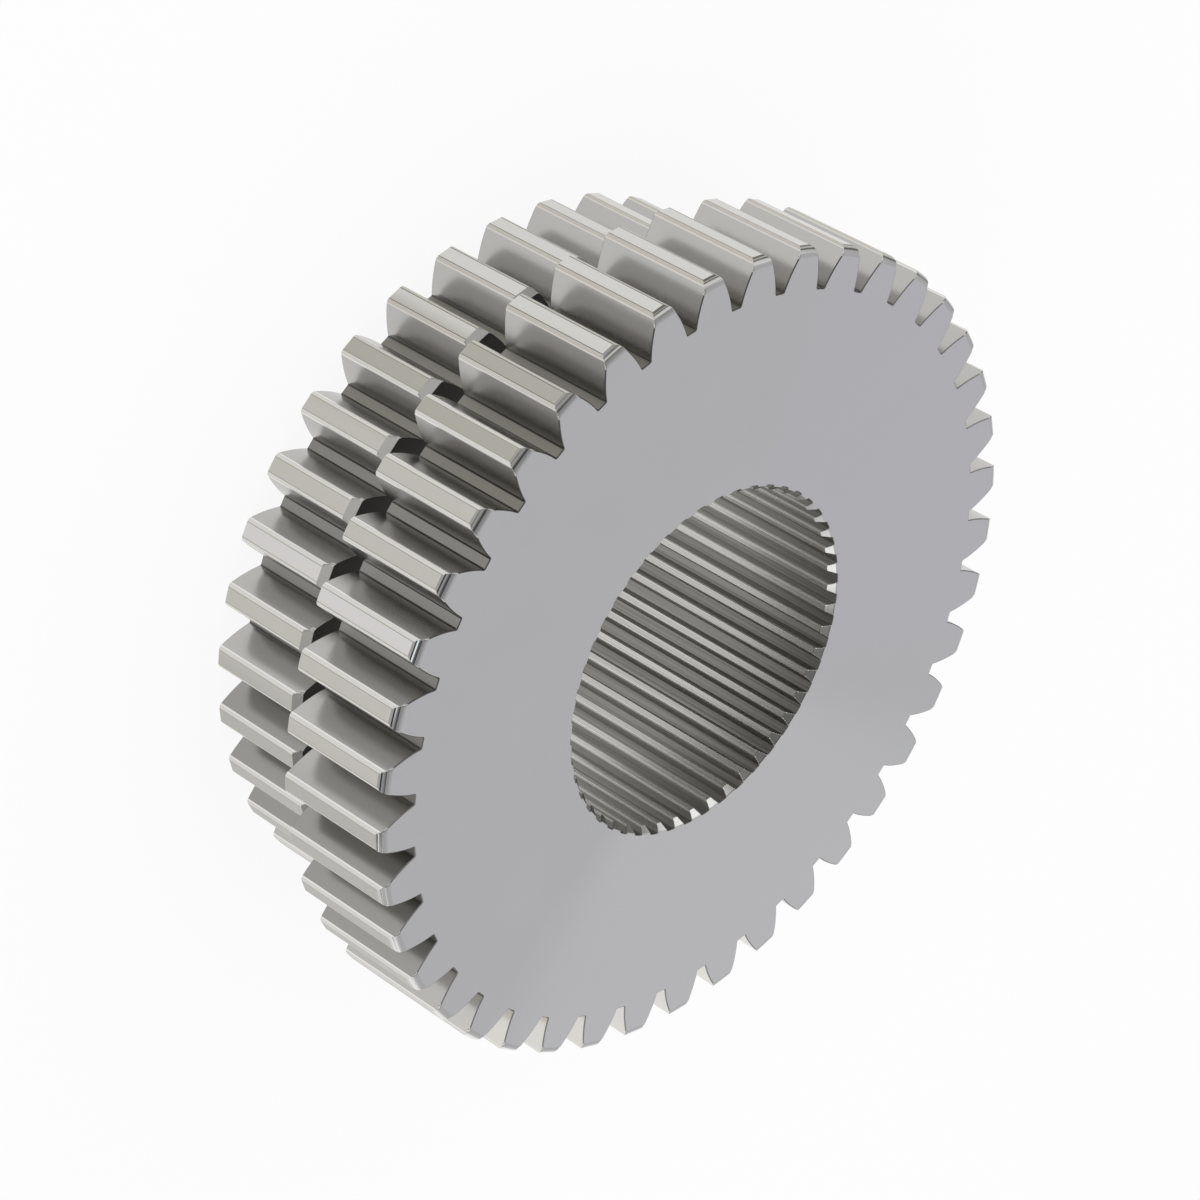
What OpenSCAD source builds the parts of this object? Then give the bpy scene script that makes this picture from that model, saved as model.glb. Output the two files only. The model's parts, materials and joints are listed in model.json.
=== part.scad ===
// Two-row spur gear wheel with a splined bore, in millimetres.
// The wheel lies on its rear face at z = 0, its axis is Z, and the larger front row of teeth is on top.

/* [Both rows] */
// Module of both rows of teeth
tooth_module = 4.5; // [3.5:0.25:10]
// Pressure angle of both rows, degrees
pressure_angle = 22.5; // [14.5:0.5:25]
// Rounding along the two long edges of every tooth tip
tip_round = 1.25; // [0.25:0.05:1.75]
// Fillet between a flank and the flat land at the tooth root
root_round = 0.3; // [0.2:0.05:0.9]

/* [Front row] */
// Number of teeth of the front row
front_teeth = 41; // [32:1:80]
// Face width of the front row, along the axis
front_width = 29; // [12:1:60]
// Profile shift of the front row, in modules
front_shift = 0.2; // [-0.2:0.05:0.5]
// Addendum of the front row, in modules
front_addendum = 0.625; // [0.4:0.025:1]
// Dedendum of the front row, in modules
front_dedendum = 1.45; // [1.1:0.05:1.5]
// Radius that rounds the front end edge of the front tips
front_round = 2; // [0.75:0.25:3]

/* [Rear row] */
// Number of teeth of the rear row
rear_teeth = 35; // [28:1:60]
// Face width of the rear row, along the axis
rear_width = 25.5; // [12:0.5:60]
// Profile shift of the rear row, in modules
rear_shift = 0.58; // [0.1:0.01:0.7]
// Addendum of the rear row, in modules
rear_addendum = 0.52; // [0.4:0.01:0.9]
// Dedendum of the rear row, in modules
rear_dedendum = 1.3; // [1:0.05:1.5]
// Turn of a rear tooth past the front tooth on the X axis, degrees
rear_turn = 6.45; // [0:0.05:12]
// Radial depth of the lead-in bevel on the rear tips, on the groove side
lead_depth = 1.25; // [0.5:0.05:2]
// Axial length of that lead-in bevel
lead_length = 2.1; // [0.5:0.1:4]

/* [Groove between the rows] */
// Width of the groove, along the axis
groove_width = 10; // [4:0.5:20]
// Depth of the groove's floor below the lower of the two root circles
groove_depth = 3; // [1:0.25:8]

/* [Splined bore] */
// Number of spline teeth
spline_teeth = 47; // [36:1:60]
// Module of the spline
spline_module = 1.75; // [1:0.05:2.5]
// Pressure angle of the spline, degrees
spline_angle = 30; // [25:1:40]
// Depth of the spline spaces outside the reference circle, in modules
spline_dedendum = 0.33; // [0.2:0.01:0.5]
// Height of the spline teeth inside the reference circle, in modules
spline_addendum = 0.61; // [0.4:0.01:0.75]
// Part of the pitch that a spline space takes at the reference circle
spline_space = 0.527; // [0.45:0.001:0.58]
// Fillet in the corners of each spline space
spline_fillet = 0.3; // [0.05:0.05:0.5]
// Turn of a spline space past the front tooth on the X axis, degrees
spline_turn = -0.5; // [-4:0.1:4]
// Radial depth of the bevel that opens both mouths of the bore
mouth_depth = 1.35; // [0.5:0.05:2.5]
// Axial length of that bevel
mouth_length = 1.65; // [0.5:0.05:4]

/* [Hidden] */
// Colour of the bare steel
steel_grey = [0.66, 0.66, 0.67];
// Degrees in one radian
radian = 180 / PI;
// Overlap that lets a cut run out past a face
run_out = 1;
// Number of chords along one root fillet, one flank and one rounded tip edge
fillet_steps = 3;
flank_steps = 5;
tip_steps = 3;
// Number of chords along one spline flank and one spline fillet
spline_flank_steps = 2;
spline_fillet_steps = 2;
// Number of sides of the turned surfaces
turned_sides = 180;

// Radii of the front row
front_tip_r = tooth_module * (front_teeth / 2 + front_shift + front_addendum);
front_root_r = tooth_module * (front_teeth / 2 + front_shift - front_dedendum);
// Radii of the rear row
rear_tip_r = tooth_module * (rear_teeth / 2 + rear_shift + rear_addendum);
rear_root_r = tooth_module * (rear_teeth / 2 + rear_shift - rear_dedendum);
// Radius of the groove's floor
groove_r = min(front_root_r, rear_root_r) - groove_depth;
// Radii of the spline
spline_ref_r = spline_module * spline_teeth / 2;
spline_root_r = spline_ref_r + spline_module * spline_dedendum;
spline_tip_r = spline_ref_r - spline_module * spline_addendum;
// Heights of the groove's two walls and of the front face
groove_z = rear_width;
front_z = groove_z + groove_width;
total_z = front_z + front_width;

// Point at radius r and angle a
function polar(r, a) = [r * cos(a), r * sin(a)];

// Points on an arc about c, from angle a0 to a1, in n chords
function arc(c, r, a0, a1, n) = [for (i = [0:n]) c + polar(r, a0 + (a1 - a0) * i / n)];

// Involute of an angle, in degrees
function involute(a) = tan(a) * radian - a;

// Length of the tangent from the base circle to radius r
function tangent(r, base_r) = sqrt(max(0, r * r - base_r * base_r));

// Points of an involute flank between the tangent lengths t0 and t1, both ends left out.
// half_base is the half angle of the tooth at its base circle.
function flank(base_r, half_base, t0, t1, n) = [
    for (i = [1:n - 1])
        let (t = t0 + (t1 - t0) * i / n)
        polar(norm([base_r, t]), half_base - (t / base_r * radian - atan(t / base_r)))
];

// One side of a tooth from its root to its tip: root fillet, flank and rounded tip edge.
// The tooth is centred on the X axis, and this is its side at positive angles.
function tooth_side(base_r, half_base, root_r, tip_r, root_fillet, tip_fillet) =
    let (
        // Centre of the root fillet, on an involute that runs parallel to the flank
        low_r = root_r + root_fillet,
        low_t = tangent(low_r, base_r),
        curved = low_t > root_fillet,
        low_a = curved
            ? half_base - involute(acos(base_r / low_r)) + root_fillet / base_r * radian
            : half_base + asin(root_fillet / low_r),
        low_end = curved ? low_a - acos(base_r / low_r) - 90 : half_base - 90,
        flank_t0 = curved ? low_t - root_fillet : tangent(sqrt(low_r * low_r - root_fillet * root_fillet), base_r),
        // Centre of the tip rounding, on a parallel involute inside the tooth
        high_r = tip_r - tip_fillet,
        high_t = tangent(high_r, base_r),
        high_turn = acos(base_r / high_r),
        high_a = half_base - involute(high_turn) - tip_fillet / base_r * radian,
        flank_t1 = high_t + tip_fillet
    )
    concat(
        arc(polar(low_r, low_a), root_fillet, low_a - 180, low_end, fillet_steps),
        flank(base_r, half_base, flank_t0, flank_t1, flank_steps),
        arc(polar(high_r, high_a), tip_fillet, high_a - high_turn + 90, high_a, tip_steps)
    );

// One side of a spline space from the spline teeth's tip circle out to its rounded corner
function space_side(base_r, half_base) =
    let (
        high_r = spline_root_r - spline_fillet,
        high_turn = acos(base_r / high_r),
        high_a = half_base - involute(high_turn) - spline_fillet / base_r * radian,
        low_t = tangent(spline_tip_r, base_r),
        high_t = tangent(high_r, base_r) + spline_fillet
    )
    concat(
        [polar(spline_tip_r, half_base - involute(acos(base_r / spline_tip_r)))],
        flank(base_r, half_base, low_t, high_t, spline_flank_steps),
        arc(polar(high_r, high_a), spline_fillet, high_a - high_turn + 90, high_a, spline_fillet_steps)
    );

// Closed outline of n equal teeth from the points of one side of a tooth, root first
function ring_outline(n, side) = [
    for (k = [0:n - 1])
        let (
            turn = 360 * k / n,
            last = len(side) - 1,
            tooth = concat([for (p = side) [p.x, -p.y]], [for (i = [0:last]) side[last - i]])
        )
        for (p = tooth) [p.x * cos(turn) - p.y * sin(turn), p.x * sin(turn) + p.y * cos(turn)]
];

// Outline of a row of gear teeth
module row_outline(teeth, shift, root_r, tip_r) {
    base_r = tooth_module * teeth / 2 * cos(pressure_angle);
    half_base = (90 + 2 * shift * tan(pressure_angle) * radian) / teeth + involute(pressure_angle);
    side = tooth_side(base_r, half_base, root_r, tip_r, root_round, tip_round);
    polygon(ring_outline(teeth, side));
}

// Outline of the bore with its spline spaces
module spline_outline() {
    base_r = spline_ref_r * cos(spline_angle);
    half_base = 180 / spline_teeth * spline_space + involute(spline_angle);
    polygon(ring_outline(spline_teeth, space_side(base_r, half_base)));
}

// Turned body that limits the front row, rounded at the front
module front_blank() {
    round_centre = [front_tip_r - front_round, front_width - front_round];
    rotate_extrude($fn = turned_sides)
        union() {
            polygon([
                [0, 0],
                [front_tip_r, 0],
                [front_tip_r, front_width - front_round],
                [front_tip_r - front_round, front_width],
                [0, front_width]
            ]);
            intersection() {
                translate(round_centre)
                    circle(r = front_round, $fn = turned_sides);
                translate(round_centre)
                    square(front_round + run_out);
            }
        }
}

// Turned body that limits the rear row, with the lead-in bevel at the groove
module rear_blank() {
    rotate_extrude($fn = turned_sides)
        polygon([
            [0, 0],
            [rear_tip_r, 0],
            [rear_tip_r, rear_width - lead_length],
            [rear_tip_r - lead_depth, rear_width],
            [0, rear_width]
        ]);
}

// Front row of teeth
module front_row() {
    translate([0, 0, front_z])
        intersection() {
            linear_extrude(front_width)
                row_outline(front_teeth, front_shift, front_root_r, front_tip_r);
            front_blank();
        }
}

// Rear row of teeth
module rear_row() {
    intersection() {
        linear_extrude(rear_width)
            rotate(rear_turn)
                row_outline(rear_teeth, rear_shift, rear_root_r, rear_tip_r);
        rear_blank();
    }
}

// Web between the rows, whose outside is the groove's floor
module groove_web() {
    translate([0, 0, groove_z])
        cylinder(r = groove_r, h = groove_width, $fn = turned_sides);
}

// Bevel that opens one mouth of the bore, for a face at z = 0 with the bore above it
module mouth_bevel() {
    slope = mouth_depth / mouth_length;
    translate([0, 0, -run_out])
        cylinder(
            h = mouth_length + run_out,
            r1 = spline_tip_r + mouth_depth + slope * run_out,
            r2 = spline_tip_r,
            $fn = turned_sides
        );
}

// Splined bore with a bevelled mouth at each face
module splined_bore() {
    translate([0, 0, -run_out])
        linear_extrude(total_z + 2 * run_out)
            rotate(spline_turn)
                spline_outline();
    mouth_bevel();
    translate([0, 0, total_z])
        mirror([0, 0, 1])
            mouth_bevel();
}

// The whole wheel, one piece of steel
module gear_wheel() {
    color(steel_grey)
        difference() {
            union() {
                rear_row();
                groove_web();
                front_row();
            }
            splined_bore();
        }
}

gear_wheel();
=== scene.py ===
"""Looks of the gear wheel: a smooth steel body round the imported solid, floor, lights and camera."""

import json
import math
from collections import namedtuple

import bpy
import numpy as np
from mathutils import Euler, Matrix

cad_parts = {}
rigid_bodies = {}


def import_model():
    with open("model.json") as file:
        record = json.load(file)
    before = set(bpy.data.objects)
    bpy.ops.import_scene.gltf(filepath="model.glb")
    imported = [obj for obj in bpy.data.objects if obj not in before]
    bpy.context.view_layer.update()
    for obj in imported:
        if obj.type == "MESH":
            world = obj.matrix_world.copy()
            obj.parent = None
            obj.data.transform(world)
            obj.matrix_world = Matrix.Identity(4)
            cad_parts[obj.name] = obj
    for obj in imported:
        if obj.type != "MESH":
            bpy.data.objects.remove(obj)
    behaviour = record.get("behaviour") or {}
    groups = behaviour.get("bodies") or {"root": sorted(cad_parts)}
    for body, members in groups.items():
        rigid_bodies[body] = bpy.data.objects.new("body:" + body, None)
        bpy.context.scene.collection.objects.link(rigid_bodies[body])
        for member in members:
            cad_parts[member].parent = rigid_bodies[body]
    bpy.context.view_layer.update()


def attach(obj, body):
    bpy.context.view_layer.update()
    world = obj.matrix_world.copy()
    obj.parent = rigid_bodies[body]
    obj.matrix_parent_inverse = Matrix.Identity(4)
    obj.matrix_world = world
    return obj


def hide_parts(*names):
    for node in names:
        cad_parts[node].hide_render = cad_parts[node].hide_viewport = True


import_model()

# Sizes of the wheel, in millimetres, modules and degrees, as in part.scad
MODULE = 4.5
PRESSURE_ANGLE = math.radians(22.5)
TIP_ROUND = 1.25
ROOT_ROUND = 0.3
FRONT = {"teeth": 41, "shift": 0.2, "addendum": 0.625, "dedendum": 1.45, "turn": 0.0}
REAR = {"teeth": 35, "shift": 0.58, "addendum": 0.52, "dedendum": 1.3, "turn": 6.45}
REAR_TOP = 25.5
FRONT_BOTTOM = 35.5
TOP = 64.5
FRONT_ROUND = 2.0
LEAD_DEPTH = 1.25
LEAD_LENGTH = 2.1
GROOVE_DEPTH = 3.0
SPLINE_TEETH = 47
SPLINE_MODULE = 1.75
SPLINE_ANGLE = math.radians(30)
SPLINE_DEDENDUM = 0.33
SPLINE_ADDENDUM = 0.61
SPLINE_SPACE = 0.527
SPLINE_FILLET = 0.3
SPLINE_TURN = -0.5
MOUTH_DEPTH = 1.35
MOUTH_LENGTH = 1.65

# Radii of the tiny roundings that only the looks have: round the front face, round the other ends
# of the teeth, in the bore, and in the corners of the groove's floor
FACE_EDGE = 0.22
PLAIN_EDGE = 0.12
BORE_EDGE = 0.12
GROOVE_CORNER = 0.5

# Chords along a root fillet, a flank, a rounded tip edge, a spline flank and a spline fillet
FILLET_STEPS = 3
FLANK_STEPS = 8
TIP_STEPS = 8
SPLINE_FLANK_STEPS = 4
SPLINE_FILLET_STEPS = 3
# Steps along the front rounding, the rounding round the face, the other tiny ones, the lead-in
# bevel, the mouth's bevel and a corner of the groove
FRONT_ROUND_STEPS = 10
FACE_EDGE_STEPS = 3
EDGE_STEPS = 2
LEAD_STEPS = 4
MOUTH_STEPS = 8
GROOVE_CORNER_STEPS = 4
# Depth of the extra level that keeps a plain end crisp, and the distance of the two extra levels
# on either side of where a bevel ends
PLAIN_NEAR = PLAIN_EDGE * 4
LEAD_NEAR = 0.08
MOUTH_NEAR = 0.06
# Sides of the groove's floor
GROOVE_SIDES = 240
# Distance from the tooth roots to the ring that divides an end face
FACE_RING = 4.0

QUARTER = math.pi / 2
MILLIMETRE = 0.001

# Material slots, in the order of the mesh's material list; many of them carry painted highlights,
# reflections and shade
(FACE, TIP, TIP_PAINTED_DARK_LINE, TIP_PAINTED_REFLECTION_BAND, TIP_PAINTED_HIGHLIGHT, ROUND_FOOT_PAINTED_REFLECTION, ROUND_DARK_PAINTED_REFLECTION, ROUND_BRIGHT_PAINTED_REFLECTION, ROUND_SHOULDER_PAINTED_REFLECTION,
 ROUND_TOP, END_PAINTED_DARK_LINE, FLANK, FILLET_PAINTED_SHADE, ROOT_LAND_PAINTED_SHADE, LEAD, GROOVE_PAINTED_SHADE, WALL_PAINTED_SHADE, CREST, CREST_EDGE_PAINTED_HIGHLIGHT, SPLINE_FLANK,
 SPACE_PAINTED_SHADE, MOUTH) = range(22)

# Slots of the front rounding by how far its normal leans at most, in degrees: None is the land of
# the tip, beyond the last is ROUND_TOP, and the four slots between carry painted reflection bands
ROUND_LIMITS = ((0, None), (17, ROUND_FOOT_PAINTED_REFLECTION), (26, ROUND_DARK_PAINTED_REFLECTION), (40, ROUND_BRIGHT_PAINTED_REFLECTION),
                (54, ROUND_SHOULDER_PAINTED_REFLECTION))

# One cross-section of a row of teeth or of the bore. facing is +1 near an upper end and -1 near a
# lower one, depth is the distance from that end, and edge is the radius that rounds it. No point
# lies beyond the radius limit of the turned shape, whose normal leans by limit_lean there.
Level = namedtuple("Level", "z depth facing edge limit limit_lean")
# A level as built: vertex indices, points, and which points lie on the turned shape
Ring = namedtuple("Ring", "ids xy turned")


def involute(a):
    return math.tan(a) - a


def polar(r, a):
    return r * math.cos(a), r * math.sin(a)


def arc(centre, radius, start, stop, steps, turned, region):
    """Samples of an arc: (x, y, direction of the normal, region of the strip that follows)."""
    out = []
    for i in range(steps + 1):
        a = start + (stop - start) * i / steps
        x, y = polar(radius, a)
        out.append((centre[0] + x, centre[1] + y, a + turned, region))
    return out


def flank(base, half_base, t0, t1, numbers, steps, lean, region):
    """Samples of an involute flank between the tangent lengths t0 and t1."""
    out = []
    for i in numbers:
        t = t0 + (t1 - t0) * i / steps
        turn = math.atan2(t, base)
        angle = half_base - (t / base - turn)
        out.append((*polar(math.hypot(base, t), angle), angle - turn + lean, region))
    return out


def with_region(sample, region):
    return (*sample[:3], region)


def tooth_side(base, half_base, root, tip):
    """Samples from the root to the tip on the side of a tooth at positive angles."""
    low = root + ROOT_ROUND
    low_turn = math.acos(base / low)
    low_angle = half_base - involute(low_turn) + ROOT_ROUND / base
    high = tip - TIP_ROUND
    high_turn = math.acos(base / high)
    high_angle = half_base - involute(high_turn) - TIP_ROUND / base
    t0 = math.sqrt(low**2 - base**2) - ROOT_ROUND
    t1 = math.sqrt(high**2 - base**2) + TIP_ROUND
    fillet = arc(polar(low, low_angle), ROOT_ROUND, low_angle - math.pi,
                 low_angle - low_turn - QUARTER, FILLET_STEPS, math.pi, FILLET_PAINTED_SHADE)
    fillet[-1] = with_region(fillet[-1], FLANK)
    side = flank(base, half_base, t0, t1, range(1, FLANK_STEPS), FLANK_STEPS, QUARTER, FLANK)
    rounding = arc(polar(high, high_angle), TIP_ROUND, high_angle - high_turn + QUARTER,
                   high_angle, TIP_STEPS, 0, TIP_PAINTED_REFLECTION_BAND)
    # Tip rounding: a painted highlight in its first two steps, a painted dark line in its last and a
    # painted reflection band between
    for i, region in ((0, TIP_PAINTED_HIGHLIGHT), (1, TIP_PAINTED_HIGHLIGHT), (TIP_STEPS - 1, TIP_PAINTED_DARK_LINE)):
        rounding[i] = with_region(rounding[i], region)
    return fillet + side + rounding


def space_side(base, half_base, root, tip):
    """Samples from the tip circle of the spline teeth out to the corner of a spline space."""
    land = half_base - involute(math.acos(base / tip)) + BORE_EDGE / tip
    high = root - SPLINE_FILLET
    high_turn = math.acos(base / high)
    high_angle = half_base - involute(high_turn) - SPLINE_FILLET / base
    t0 = math.sqrt(tip**2 - base**2) + BORE_EDGE
    t1 = math.sqrt(high**2 - base**2) + SPLINE_FILLET
    crest = [(*polar(tip, land), land + math.pi, CREST_EDGE_PAINTED_HIGHLIGHT)]
    side = flank(base, half_base, t0, t1, range(SPLINE_FLANK_STEPS), SPLINE_FLANK_STEPS,
                 -QUARTER, SPLINE_FLANK)
    side[0] = with_region(side[0], CREST_EDGE_PAINTED_HIGHLIGHT)
    corner = arc(polar(high, high_angle), SPLINE_FILLET, high_angle - high_turn + QUARTER,
                 high_angle, SPLINE_FILLET_STEPS, math.pi, SPACE_PAINTED_SHADE)
    return crest + side + corner


def ring_outline(count, side, low, high, turn, inward, low_region, high_region):
    """Closed outline of equal teeth: arrays of points, of normal directions and of regions.

    low and high are the radii of the points midway between two teeth and in the middle of a
    tooth, and inward is pi where the normals point at the axis, otherwise 0.
    """
    half = math.pi / count
    back = side[::-1]
    tooth = [(*polar(low, -half), inward - half, low_region)]
    tooth += [(x, -y, -n, region) for x, y, n, region in side]
    tooth[-1] = with_region(tooth[-1], high_region)
    tooth.append((high, 0.0, inward, high_region))
    tooth += [with_region(here, below[3]) for here, below in zip(back, back[1:])]
    tooth.append(with_region(back[-1], low_region))
    x, y, n, regions = (np.array(column) for column in zip(*tooth))
    turns = 2 * half * np.arange(count)[:, None] + math.radians(turn)
    xs = x * np.cos(turns) - y * np.sin(turns)
    ys = x * np.sin(turns) + y * np.cos(turns)
    points = np.column_stack([xs.ravel(), ys.ravel()])
    return points, (n + turns).ravel(), np.tile(regions, count)


def angles(xy):
    return np.arctan2(xy[:, 1], xy[:, 0])


def circle(a):
    """Points of the unit circle at the angles a."""
    return np.column_stack([np.cos(a), np.sin(a)])


class Body:
    """Vertices, their normals, and faces with their material slots."""

    def __init__(self):
        self.points, self.normals, self.faces, self.slots = [], [], [], []
        self.count = 0

    def loop(self, xy, z, normals):
        """Adds a closed loop of vertices and returns their indices."""
        self.points.append(np.column_stack([xy, np.full(len(xy), z)]))
        self.normals.append(normals)
        self.count += len(xy)
        return np.arange(self.count - len(xy), self.count)

    def strip(self, lower, upper, slots, outward=True):
        """Quads between two loops of one length. outward: normals point away from the axis."""
        slots = np.broadcast_to(slots, len(lower))
        for i in range(len(lower)):
            j = (i + 1) % len(lower)
            face = (lower[i], lower[j], upper[j], upper[i])
            self.faces.append(face if outward else face[::-1])
            self.slots.append(int(slots[i]))

    def zipper(self, outer, outer_xy, inner, inner_xy, slot, up=True):
        """Triangles of the flat ring between two loops of different lengths."""
        full = 2 * math.pi
        n, m = len(outer), len(inner)
        outer_angle = np.unwrap(angles(outer_xy))
        inner_angle = np.unwrap(angles(inner_xy))
        inner_angle += full * round((outer_angle[0] - inner_angle[0]) / full)
        start = int(np.argmin(np.abs(inner_angle - outer_angle[0])))
        i = j = 0
        while i < n or j < m:
            next_outer = outer_angle[0] + full if i + 1 >= n else outer_angle[i + 1]
            k = start + j + 1
            next_inner = inner_angle[k % m] + full * (k // m)
            a, b = outer[i % n], inner[(k - 1) % m]
            if j >= m or (i < n and next_outer <= next_inner):
                face = (a, outer[(i + 1) % n], b)
                i += 1
            else:
                face = (a, inner[k % m], b)
                j += 1
            self.faces.append(face if up else face[::-1])
            self.slots.append(slot)


def rounding_depths(radius, steps):
    return {radius * (1 - math.cos(QUARTER * i / steps)) for i in range(steps + 1)}


def edge_inset(depth, radius):
    """How far a rounded edge stands back at this depth, and the upward part of its normal."""
    if depth >= radius:
        return 0.0, 0.0
    lean = math.acos(1 - depth / radius)
    return radius * (1 - math.sin(lean)), math.cos(lean)


def add_level(body, outline, level, inside=False):
    """Adds one level of a row of teeth, or of the bore with inside, as a Ring."""
    points, directions, _ = outline
    inset, lift = edge_inset(level.depth, level.edge)
    xy = points - inset * circle(directions)
    r = np.hypot(xy[:, 0], xy[:, 1])
    up = np.full(len(xy), level.facing * lift)
    normals = np.column_stack([math.sqrt(1 - lift * lift) * circle(directions), up])
    turned = r < level.limit if inside else r > level.limit
    if turned.any():
        radial = xy[turned] / r[turned][:, None]
        xy[turned] = radial * level.limit
        outward = radial * math.cos(level.limit_lean) * (-1 if inside else 1)
        up = np.full(turned.sum(), level.facing * math.sin(level.limit_lean))
        normals[turned] = np.column_stack([outward, up])
    return Ring(body.loop(xy, level.z, normals), xy, turned)


def row_outline(row):
    """Outline of a row of teeth. Adds the tip and root radii to the sizes of the row."""
    teeth, shift = row["teeth"], row["shift"]
    base = MODULE * teeth / 2 * math.cos(PRESSURE_ANGLE)
    half_base = (QUARTER + 2 * shift * math.tan(PRESSURE_ANGLE)) / teeth + involute(PRESSURE_ANGLE)
    row["tip_r"] = MODULE * (teeth / 2 + shift + row["addendum"])
    row["root_r"] = MODULE * (teeth / 2 + shift - row["dedendum"])
    side = tooth_side(base, half_base, row["root_r"], row["tip_r"])
    return ring_outline(teeth, side, row["root_r"], side[-1][0], row["turn"], 0.0, ROOT_LAND_PAINTED_SHADE, TIP)


def add_row(body, outline, levels, turned_slot):
    """Joins the levels of a row of teeth and returns the first and the last of them.

    turned_slot gives the slot of the turned part of the strip between two levels, or None.
    """
    rings = [add_level(body, outline, level) for level in levels]
    on_tip = np.isin(outline[2], (TIP, TIP_PAINTED_DARK_LINE, TIP_PAINTED_REFLECTION_BAND, TIP_PAINTED_HIGHLIGHT))
    for above, below, upper, lower in zip(levels, levels[1:], rings, rings[1:]):
        slots = outline[2]
        on_edge = max(above.depth, below.depth) <= above.edge
        if on_edge:
            # Tiny edge roundings: a painted highlight on the tips of plain ends, a painted dark line
            # elsewhere
            slots = np.where(on_tip & (above.edge == PLAIN_EDGE), TIP_PAINTED_HIGHLIGHT, END_PAINTED_DARK_LINE)
        slot = turned_slot(above, below)
        if slot is not None:
            next_turned = np.roll(upper.turned, -1)
            turned = upper.turned | next_turned if on_edge else upper.turned & next_turned
            slots = np.where(turned, slot, slots)
        body.strip(lower.ids, upper.ids, slots)
    return rings[0], rings[-1]


def plain_end(bottom, tip):
    """Levels of the plain lower end of a row, from the top down."""
    levels = []
    for depth in sorted(rounding_depths(PLAIN_EDGE, EDGE_STEPS) | {PLAIN_NEAR}, reverse=True):
        limit = tip - edge_inset(depth, PLAIN_EDGE)[0]
        levels.append(Level(bottom + depth, depth, -1, PLAIN_EDGE, limit, 0.0))
    return levels


def add_front_row(body, outline):
    tip = FRONT["tip_r"]
    depths = rounding_depths(FACE_EDGE, FACE_EDGE_STEPS)
    depths |= {FRONT_ROUND * (1 - math.sin(QUARTER * i / FRONT_ROUND_STEPS))
               for i in range(FRONT_ROUND_STEPS + 1)}
    levels = []
    for depth in sorted(depths):
        rise = max(0.0, 1 - depth / FRONT_ROUND)
        limit = tip - FRONT_ROUND + FRONT_ROUND * math.sqrt(1 - rise * rise)
        levels.append(Level(TOP - depth, depth, 1, FACE_EDGE, limit, math.asin(rise)))

    def turned_slot(above, below):
        lean = math.degrees(above.limit_lean + below.limit_lean) / 2
        return next((slot for limit, slot in ROUND_LIMITS if lean <= limit), ROUND_TOP)

    return add_row(body, outline, levels + plain_end(FRONT_BOTTOM, tip), turned_slot)


def bevel_lean(slope, depth, length, lift):
    """Lean of the turned normal of a bevel, which its rounded outer edge turns on to vertical."""
    lean = math.atan(slope)
    return lean + (QUARTER - lean) * lift if depth < length else 0.0


def add_rear_row(body, outline):
    tip = REAR["tip_r"]
    slope = LEAD_DEPTH / LEAD_LENGTH
    depths = rounding_depths(PLAIN_EDGE, EDGE_STEPS)
    depths |= {LEAD_LENGTH * i / LEAD_STEPS for i in range(1, LEAD_STEPS)}
    depths |= {LEAD_LENGTH - LEAD_NEAR, LEAD_LENGTH + LEAD_NEAR}
    levels = []
    for depth in sorted(depths):
        inset, lift = edge_inset(depth, PLAIN_EDGE)
        limit = tip - inset - max(0.0, LEAD_DEPTH - slope * depth)
        lean = bevel_lean(slope, depth, LEAD_LENGTH, lift)
        levels.append(Level(REAR_TOP - depth, depth, 1, PLAIN_EDGE, limit, lean))

    def turned_slot(_, below):
        return LEAD if below.depth < LEAD_LENGTH and below.facing > 0 else None

    return add_row(body, outline, levels + plain_end(0.0, tip), turned_slot)


def add_groove(body, upper, lower):
    """Floor of the groove with its two rounded corners, and its two walls."""
    floor_r = min(FRONT["root_r"], REAR["root_r"]) - GROOVE_DEPTH
    ring = circle(np.arange(GROOVE_SIDES) * 2 * math.pi / GROOVE_SIDES)
    loops = []
    for wall_z, side in ((FRONT_BOTTOM, -1), (REAR_TOP, 1)):
        corner = []
        for i in range(GROOVE_CORNER_STEPS + 1):
            a = QUARTER * i / GROOVE_CORNER_STEPS
            r = floor_r + GROOVE_CORNER * (1 - math.sin(a))
            z = wall_z + side * GROOVE_CORNER * (1 - math.cos(a))
            up = np.full(len(ring), side * math.cos(a))
            corner.append((ring * r, z, np.column_stack([ring * math.sin(a), up])))
        loops += corner if side < 0 else corner[::-1]
    loops = [body.loop(*numbers) for numbers in loops]
    for above, below in zip(loops, loops[1:]):
        body.strip(below, above, GROOVE_PAINTED_SHADE)
    body.zipper(upper.ids, upper.xy, loops[0], ring, WALL_PAINTED_SHADE, up=False)
    body.zipper(lower.ids, lower.xy, loops[-1], ring, WALL_PAINTED_SHADE)


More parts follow.
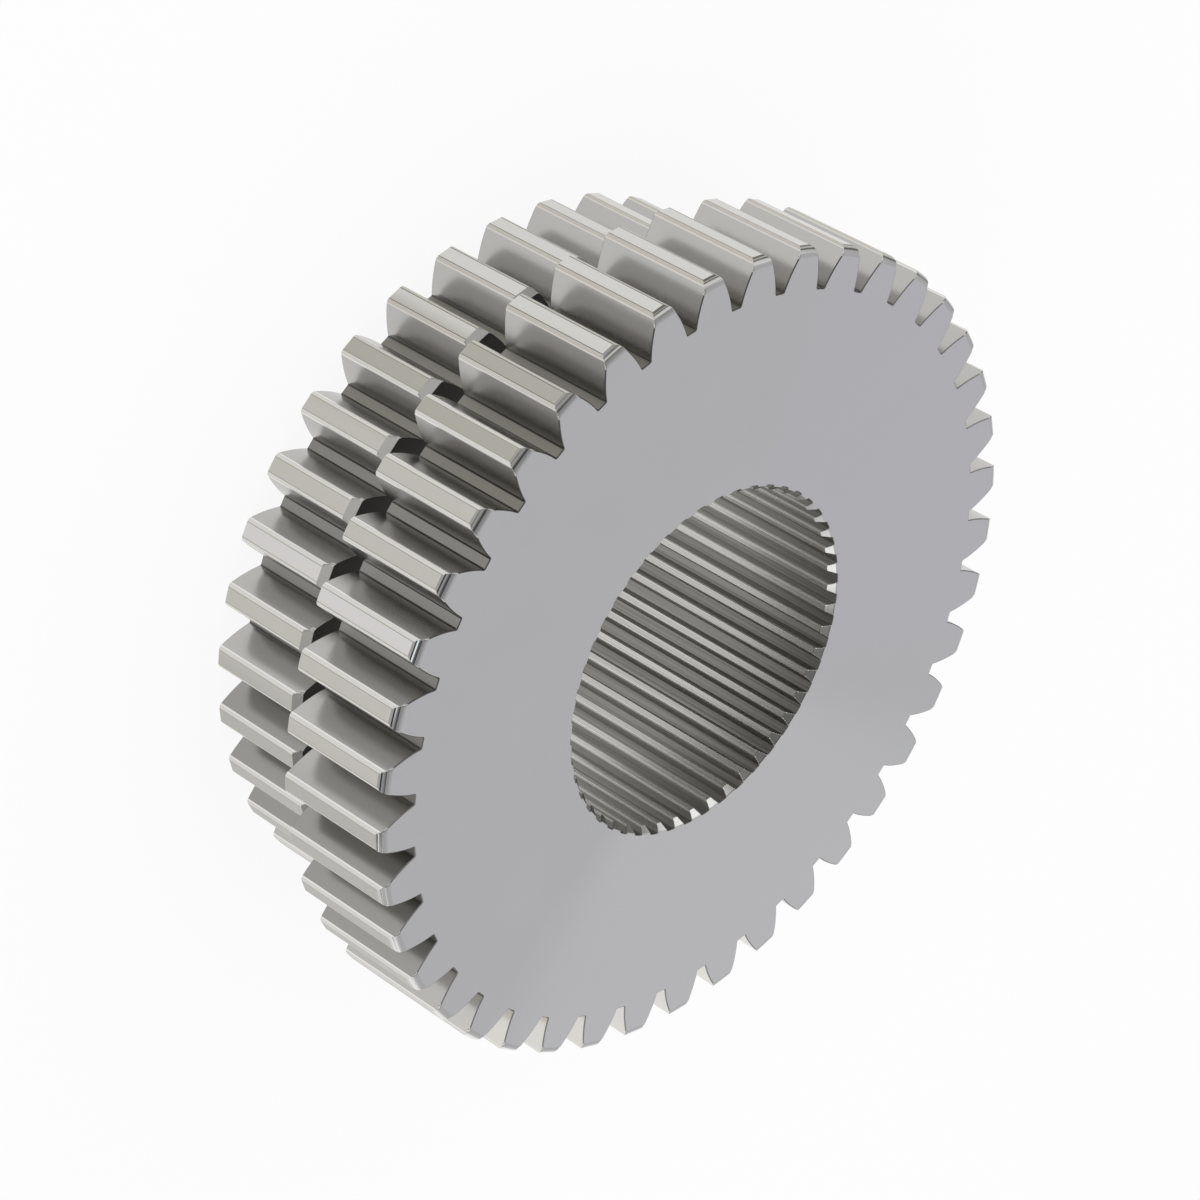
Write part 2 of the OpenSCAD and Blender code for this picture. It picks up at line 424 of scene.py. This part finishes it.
def add_bore(body):
    """Splined bore with its two bevelled mouths. Returns its first and its last level."""
    ref = SPLINE_MODULE * SPLINE_TEETH / 2
    root = ref + SPLINE_MODULE * SPLINE_DEDENDUM
    crest = ref - SPLINE_MODULE * SPLINE_ADDENDUM
    base = ref * math.cos(SPLINE_ANGLE)
    half_base = math.pi / SPLINE_TEETH * SPLINE_SPACE + involute(SPLINE_ANGLE)
    side = space_side(base, half_base, root, crest)
    outline = ring_outline(SPLINE_TEETH, side, crest, root, SPLINE_TURN, math.pi, CREST, SPACE_PAINTED_SHADE)
    slope = MOUTH_DEPTH / MOUTH_LENGTH
    depths = rounding_depths(BORE_EDGE, EDGE_STEPS)
    depths |= {MOUTH_LENGTH * i / MOUTH_STEPS for i in range(1, MOUTH_STEPS)}
    depths |= {MOUTH_LENGTH - MOUTH_NEAR, MOUTH_LENGTH + MOUTH_NEAR}
    levels = []
    for facing, face_z in ((1, TOP), (-1, 0.0)):
        mouth = []
        for depth in sorted(depths):
            inset, lift = edge_inset(depth, BORE_EDGE)
            limit = max(crest, crest + MOUTH_DEPTH - slope * depth) + inset
            lean = bevel_lean(slope, depth, MOUTH_LENGTH, lift)
            mouth.append(Level(face_z - facing * depth, depth, facing, BORE_EDGE, limit, lean))
        levels += mouth if facing > 0 else mouth[::-1]
    rings = [add_level(body, outline, level, inside=True) for level in levels]
    for upper, lower in zip(rings, rings[1:]):
        on_bevel = upper.turned & np.roll(upper.turned, -1)
        slots = np.where(on_bevel, MOUTH, outline[2])
        body.strip(lower.ids, upper.ids, slots, outward=False)
    return rings[0], rings[-1]


def add_end_face(body, outer, inner, z, root_r):
    """A flat end face: one ring next to the teeth and one next to the bore."""
    up = z > 0
    mid = (root_r - FACE_RING) * circle(angles(outer.xy))
    ids = body.loop(mid, z, np.tile([0.0, 0.0, 1.0 if up else -1.0], (len(mid), 1)))
    if up:
        body.strip(outer.ids, ids, FACE)
    else:
        body.strip(ids, outer.ids, FACE)
    body.zipper(ids, mid, inner.ids, inner.xy, FACE, up=up)


def build_wheel():
    """The whole wheel as one mesh, in metres, with its exact normals."""
    body = Body()
    front_top, front_under = add_front_row(body, row_outline(FRONT))
    rear_top, rear_under = add_rear_row(body, row_outline(REAR))
    add_groove(body, front_under, rear_top)
    bore_top, bore_under = add_bore(body)
    add_end_face(body, front_top, bore_top, TOP, FRONT["root_r"])
    add_end_face(body, rear_under, bore_under, 0.0, REAR["root_r"])

    mesh = bpy.data.meshes.new("gear_wheel_body")
    faces = [[int(i) for i in face] for face in body.faces]
    mesh.from_pydata((np.vstack(body.points) * MILLIMETRE).tolist(), [], faces)
    mesh.polygons.foreach_set("material_index", body.slots)
    mesh.shade_smooth()
    mesh.normals_split_custom_set_from_vertices(np.vstack(body.normals).tolist())
    obj = bpy.data.objects.new("gear_wheel_body", mesh)
    bpy.context.scene.collection.objects.link(obj)
    return obj


# Stretches of the grain: none, round the axis, along it, and the long lines of a broached bore
EVEN = (1, 1, 1)
ROUND_AXIS = (1, 1, 8)
ALONG_AXIS = (3, 3, 0.3)
BROACHED = (1, 1, 0.005)
# Scale of the mottling, the broach marks, and how much finer the grain in the normals is
MOTTLE_SCALE = 60
BROACH_SCALE = 1500
GRAIN_FINER = 12
MOTTLE_DETAIL = 4
GRAIN_DETAIL = 2
GRAIN_HEIGHT = 0.0001
# Parts of a tone's width at which it has faded out and at which it is full
TONE_OUT = 1.2
TONE_FULL = 0.75

# Painted reflections and painted shade: azimuths, widths on either side and colours into which the
# steel of the teeth and the mouth fades there, for the pale surroundings they mirror, in degrees
LAND_PAINTED_REFLECTION_TONES = ((-101, 26, (0.66, 0.65, 0.62)), (-66, 9, (0.43, 0.42, 0.37)),
              (-34.5, 6, (0.66, 0.64, 0.63)), (4, 19, (0.46, 0.445, 0.42)),
              (33, 23, (0.38, 0.37, 0.345)))
BAND_PAINTED_REFLECTION_TONES = ((-101, 34, (0.53, 0.505, 0.46)),)
LINE_PAINTED_SHADE_TONES = ((-101, 34, (0.15, 0.14, 0.12)),)
STRIPE_PAINTED_REFLECTION_TONES = ((-101, 34, (0.66, 0.635, 0.59)),)
FOOT_PAINTED_REFLECTION_TONES = ((-45, 38, (0.34, 0.335, 0.32)), (20, 30, (0.56, 0.55, 0.53)))
DARK_PAINTED_REFLECTION_TONES = ((-30, 20, (0.09, 0.092, 0.085)), (30, 30, (0.72, 0.71, 0.70)))
BRIGHT_PAINTED_REFLECTION_TONES = ((-62, 24, (0.19, 0.185, 0.18)), (-34.5, 7, (0.50, 0.56, 0.555)),
                (-18, 9, (0.20, 0.21, 0.205)), (25, 36, (0.85, 0.845, 0.84)))
SHOULDER_PAINTED_REFLECTION_TONES = ((-38, 34, (0.15, 0.15, 0.148)), (3, 11, (0.27, 0.268, 0.26)),
                  (32, 24, (0.78, 0.77, 0.76)))
END_PAINTED_SHADE_TONES = ((-75, 55, (0.10, 0.10, 0.095)),)
ROOT_PAINTED_SHADE_TONES = ((-20, 30, (0.27, 0.265, 0.25)),)
FLANK_PAINTED_REFLECTION_TONES = ((4, 14, (0.33, 0.325, 0.31)), (68, 34, (0.72, 0.70, 0.66)))
FACE_PAINTED_REFLECTION_TONES = ((88, 46, (0.695, 0.695, 0.71)), (-165, 48, (0.645, 0.635, 0.675)))
MOUTH_PAINTED_SHADE_TONES = ((131, 37, (0.17, 0.17, 0.16)),)


def noise_texture(nodes, links, vector, scale, detail):
    noise = nodes.new("ShaderNodeTexNoise")
    noise.inputs["Scale"].default_value = scale
    noise.inputs["Detail"].default_value = detail
    links.new(vector, noise.inputs["Vector"])
    return noise.outputs["Fac"]


def paint_by_azimuth(nodes, links, position, colour, azimuth, width, tone):
    """Paints reflection and shade round one azimuth of the wheel, fading into a tone within width
    degrees.
    """
    flat = nodes.new("ShaderNodeVectorMath")
    flat.operation = "MULTIPLY"
    flat.inputs[1].default_value = (1, 1, 0)
    links.new(position, flat.inputs[0])
    unit = nodes.new("ShaderNodeVectorMath")
    unit.operation = "NORMALIZE"
    links.new(flat.outputs["Vector"], unit.inputs[0])
    dot = nodes.new("ShaderNodeVectorMath")
    dot.operation = "DOT_PRODUCT"
    dot.inputs[1].default_value = (*polar(1, math.radians(azimuth)), 0)
    links.new(unit.outputs["Vector"], dot.inputs[0])
    near = nodes.new("ShaderNodeMapRange")
    near.interpolation_type = "SMOOTHSTEP"
    near.inputs["From Min"].default_value = math.cos(math.radians(width * TONE_OUT))
    near.inputs["From Max"].default_value = math.cos(math.radians(width * TONE_FULL))
    links.new(dot.outputs["Value"], near.inputs["Value"])
    mix = nodes.new("ShaderNodeMix")
    mix.data_type = "RGBA"
    links.new(near.outputs["Result"], mix.inputs["Factor"])
    links.new(colour, mix.inputs["A"])
    mix.inputs["B"].default_value = (*tone, 1)
    return mix.outputs["Result"]


def metal(name, colour, roughness, stretch, tones=(), scale=MOTTLE_SCALE, spread=0.03,
          rough_spread=0.03, bump=0.05):
    """Bare steel: mottled colour and roughness, and a fine grain, all stretched one way.

    spread is the part by which the colour varies, and rough_spread how far the roughness does.
    """
    mat = bpy.data.materials.new(name)
    mat.use_nodes = True
    nodes, links = mat.node_tree.nodes, mat.node_tree.links
    shader = nodes["Principled BSDF"]
    shader.inputs["Metallic"].default_value = 1.0
    position = nodes.new("ShaderNodeTexCoord").outputs["Object"]
    mapping = nodes.new("ShaderNodeMapping")
    mapping.inputs["Scale"].default_value = stretch
    links.new(position, mapping.inputs["Vector"])
    mottle = noise_texture(nodes, links, mapping.outputs["Vector"], scale, MOTTLE_DETAIL)
    mix = nodes.new("ShaderNodeMix")
    mix.data_type = "RGBA"
    links.new(mottle, mix.inputs["Factor"])
    mix.inputs["A"].default_value = (*[c * (1 - spread) for c in colour], 1)
    mix.inputs["B"].default_value = (*[min(1.0, c * (1 + spread)) for c in colour], 1)
    mixed = mix.outputs["Result"]
    # Painted reflections and painted shade: the colour fades into given colours round given azimuths
    for azimuth, width, tone in tones:
        mixed = paint_by_azimuth(nodes, links, position, mixed, azimuth, width, tone)
    links.new(mixed, shader.inputs["Base Color"])
    rough = nodes.new("ShaderNodeMapRange")
    rough.inputs["To Min"].default_value = roughness - rough_spread
    rough.inputs["To Max"].default_value = roughness + rough_spread
    links.new(mottle, rough.inputs["Value"])
    links.new(rough.outputs["Result"], shader.inputs["Roughness"])
    if bump:
        grain = noise_texture(nodes, links, mapping.outputs["Vector"], scale * GRAIN_FINER,
                              GRAIN_DETAIL)
        height = nodes.new("ShaderNodeBump")
        height.inputs["Strength"].default_value = bump
        height.inputs["Distance"].default_value = GRAIN_HEIGHT
        links.new(grain, height.inputs["Height"])
        links.new(height.outputs["Normal"], shader.inputs["Normal"])
    return mat


def broached(name, colour, roughness, spread, rough_spread=0.06, bump=0.02):
    """Steel of the bore, with fine lines along the axis. The arguments are those of metal()."""
    return metal(name, colour, roughness, BROACHED, scale=BROACH_SCALE, spread=spread,
                 rough_spread=rough_spread, bump=bump)


def dress(wheel):
    """Gives the wheel its materials, one for each slot and in the order of the slots."""
    for steel in (
        # Face and tip lands: painted reflections, lighter at some azimuths and darker at others
        metal("steel_ground_face_painted_reflection", (0.635, 0.635, 0.65), 0.32, EVEN, FACE_PAINTED_REFLECTION_TONES),
        metal("steel_turned_tip_painted_reflection", (0.54, 0.52, 0.485), 0.24, ROUND_AXIS, LAND_PAINTED_REFLECTION_TONES),
        # Rounded tip edges: a painted dark line, a painted reflection band and a painted highlight
        # stripe
        metal("steel_tip_edge_painted_dark_line", (0.38, 0.355, 0.30), 0.3, ALONG_AXIS, LINE_PAINTED_SHADE_TONES),
        metal("steel_tip_edge_painted_reflection_band", (0.68, 0.665, 0.635), 0.24, ALONG_AXIS, BAND_PAINTED_REFLECTION_TONES),
        metal("steel_tip_edge_painted_highlight", (0.8, 0.785, 0.76), 0.2, ALONG_AXIS, STRIPE_PAINTED_REFLECTION_TONES),
        # Front rounding: painted reflection bands, dark and bright, each lighter or darker at given
        # azimuths
        metal("steel_rounding_foot_painted_reflection", (0.13, 0.12, 0.10), 0.2, ROUND_AXIS, FOOT_PAINTED_REFLECTION_TONES),
        metal("steel_rounding_dark_painted_reflection", (0.42, 0.415, 0.40), 0.2, ROUND_AXIS, DARK_PAINTED_REFLECTION_TONES),
        metal("steel_rounding_bright_painted_reflection", (0.41, 0.405, 0.39), 0.2, ROUND_AXIS, BRIGHT_PAINTED_REFLECTION_TONES),
        metal("steel_rounding_shoulder_painted_reflection", (0.39, 0.385, 0.37), 0.2, ROUND_AXIS, SHOULDER_PAINTED_REFLECTION_TONES),
        metal("steel_rounding_top", (0.56, 0.56, 0.565), 0.3, ROUND_AXIS),
        # Painted dark line on the tiny edge roundings, darker still at one side
        metal("steel_end_painted_dark_line", (0.24, 0.24, 0.235), 0.3, EVEN, END_PAINTED_SHADE_TONES),
        # Flanks: painted reflections, darker at one azimuth and lighter at another
        metal("steel_cut_flank_painted_reflection", (0.50, 0.49, 0.474), 0.24, ALONG_AXIS, FLANK_PAINTED_REFLECTION_TONES),
        # Painted shade: the root fillets near black
        metal("steel_fillet_painted_shade", (0.10, 0.095, 0.09), 0.35, ALONG_AXIS),
        # Painted shade: darker root lands, darker still at one side
        metal("steel_root_painted_shade", (0.23, 0.22, 0.195), 0.38, ALONG_AXIS, ROOT_PAINTED_SHADE_TONES, spread=0.08),
        metal("steel_lead_in_bevel", (0.31, 0.304, 0.29), 0.3, ROUND_AXIS),
        # Painted shade: the groove's floor and walls darker than the face
        metal("steel_groove_painted_shade", (0.30, 0.295, 0.285), 0.35, ROUND_AXIS),
        metal("steel_groove_wall_painted_shade", (0.285, 0.282, 0.274), 0.4, EVEN),
        broached("steel_spline_crest", (0.55, 0.54, 0.515), 0.26, 0.4),
        # Painted highlight on the edges of the spline crests
        broached("steel_spline_crest_edge_painted_highlight", (0.86, 0.85, 0.83), 0.28, 0.1, 0.04, 0.0),
        broached("steel_spline_flank", (0.40, 0.40, 0.385), 0.3, 0.4),
        # Painted shade: darker spline spaces
        broached("steel_spline_space_painted_shade", (0.25, 0.24, 0.225), 0.3, 0.8),
        # Mouth's bevel: painted shade at one side
        metal("steel_bevelled_mouth_painted_shade", (0.60, 0.60, 0.59), 0.28, EVEN, MOUTH_PAINTED_SHADE_TONES),
    ):
        wheel.data.materials.append(steel)


# Horizontal directions toward the camera's azimuth, and in which the studio stays bright down to
# the horizon
TOWARD_CAMERA = (0.621, -0.784, 0.0)
BRIGHT_SIDE = (-0.174, 0.985, 0.0)
# Strengths of the light: even, in the bright ring, above that ring, near the horizon, and near
# the horizon on the bright side
EVEN_LIGHT = 0.65
RING_LIGHT = 1.5
TOP_LIGHT = 0.34
HORIZON_LIGHT = 0.12
SIDE_LIGHT = 0.9
# Where these change: by how far a direction points toward the camera or the bright side, or up
TOP_FADE = (-0.6, -0.1)
RING_FADE = (-0.6, -0.3)
SIDE_FADE = (0.45, 0.85)
RING_END = (0.58, 0.74)
HORIZON_END = (0.14, 0.32)


def studio_world():
    """Pale studio: a bright ring of light at half height on the camera's side, dimmer above it,
    even on the far side, and dark near the horizon except on the bright side."""
    world = bpy.data.worlds.new("studio")
    bpy.context.scene.world = world
    world.use_nodes = True
    nodes, links = world.node_tree.nodes, world.node_tree.links
    direction = nodes.new("ShaderNodeTexCoord").outputs["Generated"]
    split = nodes.new("ShaderNodeSeparateXYZ")
    links.new(direction, split.inputs["Vector"])
    height = split.outputs["Z"]

    def along(side):
        """How far a direction points to one side: the dot product."""
        dot = nodes.new("ShaderNodeVectorMath")
        dot.operation = "DOT_PRODUCT"
        dot.inputs[1].default_value = side
        links.new(direction, dot.inputs[0])
        return dot.outputs["Value"]

    def ramp(value, span, low, high):
        """A smooth step from low to high. low or high can be another value of the tree."""
        node = nodes.new("ShaderNodeMapRange")
        node.interpolation_type = "SMOOTHSTEP"
        node.inputs["From Min"].default_value, node.inputs["From Max"].default_value = span
        links.new(value, node.inputs["Value"])
        for name, strength in (("To Min", low), ("To Max", high)):
            if isinstance(strength, float):
                node.inputs[name].default_value = strength
            else:
                links.new(strength, node.inputs[name])
        return node.outputs["Result"]

    toward = along(TOWARD_CAMERA)
    above = ramp(toward, TOP_FADE, EVEN_LIGHT, TOP_LIGHT)
    ring = ramp(toward, RING_FADE, EVEN_LIGHT, RING_LIGHT)
    upper = ramp(height, RING_END, ring, above)
    horizon = ramp(along(BRIGHT_SIDE), SIDE_FADE, HORIZON_LIGHT, SIDE_LIGHT)
    light = ramp(height, HORIZON_END, horizon, upper)
    links.new(light, nodes["Background"].inputs["Color"])


# Size, drop below the wheel, grey and roughness of the floor, and the share of plain white in it
# for camera, glossy and transmission rays, which keeps its shadow light
FLOOR_SIZE = 60
FLOOR_DROP = 0.0005
FLOOR_GREY = 0.88
FLOOR_ROUGHNESS = 0.9
FLOOR_WHITE = 0.9


def pale_floor():
    bpy.ops.mesh.primitive_plane_add(size=FLOOR_SIZE, location=(0, 0, -FLOOR_DROP))
    floor = bpy.context.object
    floor.name = "floor"
    mat = bpy.data.materials.new("pale_floor")
    mat.use_nodes = True
    nodes, links = mat.node_tree.nodes, mat.node_tree.links
    shader = nodes["Principled BSDF"]
    shader.inputs["Base Color"].default_value = (FLOOR_GREY, FLOOR_GREY, FLOOR_GREY, 1)
    shader.inputs["Roughness"].default_value = FLOOR_ROUGHNESS
    white = nodes.new("ShaderNodeEmission")
    path = nodes.new("ShaderNodeLightPath")
    seen = path.outputs["Is Camera Ray"]
    for name in ("Is Glossy Ray", "Is Transmission Ray"):
        either = nodes.new("ShaderNodeMath")
        either.operation = "MAXIMUM"
        links.new(seen, either.inputs[0])
        links.new(path.outputs[name], either.inputs[1])
        seen = either.outputs["Value"]
    share = nodes.new("ShaderNodeMath")
    share.operation = "MULTIPLY"
    share.inputs[1].default_value = FLOOR_WHITE
    links.new(seen, share.inputs[0])
    mix = nodes.new("ShaderNodeMixShader")
    links.new(share.outputs["Value"], mix.inputs["Fac"])
    links.new(shader.outputs["BSDF"], mix.inputs[1])
    links.new(white.outputs["Emission"], mix.inputs[2])
    links.new(mix.outputs["Shader"], nodes["Material Output"].inputs["Surface"])
    floor.data.materials.append(mat)


# Side, power and place of the soft lamp
LAMP_SIZE = 1.5
LAMP_WATTS = 9
LAMP_PLACE = (0.1, -0.1, 1.6)


def overhead_lamp():
    """A large soft lamp that points at the wheel and isn't mirrored in it."""
    data = bpy.data.lights.new("overhead", "AREA")
    data.shape = "RECTANGLE"
    data.size = data.size_y = LAMP_SIZE
    data.energy = LAMP_WATTS
    lamp = bpy.data.objects.new("overhead", data)
    lamp.location = LAMP_PLACE
    lamp.rotation_euler = (-lamp.location).to_track_quat("-Z", "Y").to_euler()
    lamp.visible_glossy = False
    bpy.context.scene.collection.objects.link(lamp)


# The camera that was fitted to the photograph: sensor width and focal length in millimetres, near
# clip and place in metres, angles in degrees
SENSOR_WIDTH = 36.0
FOCAL_LENGTH = 123.837
NEAR_CLIP = 0.01
CAMERA_PLACE = (0.462239, -0.584975, 0.556647)
CAMERA_ANGLES = (-35.454, -45.0226, 173.5013)


def photo_camera():
    data = bpy.data.cameras.new("camera")
    data.sensor_width = SENSOR_WIDTH
    data.lens = FOCAL_LENGTH
    data.clip_start = NEAR_CLIP
    camera = bpy.data.objects.new("camera", data)
    camera.location = CAMERA_PLACE
    camera.rotation_euler = Euler([math.radians(a) for a in CAMERA_ANGLES])
    bpy.context.scene.collection.objects.link(camera)
    bpy.context.scene.camera = camera


wheel = build_wheel()
dress(wheel)
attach(wheel, "root")
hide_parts("gear_wheel")

studio_world()
pale_floor()
overhead_lamp()
photo_camera()
bpy.context.scene.view_settings.view_transform = "Standard"
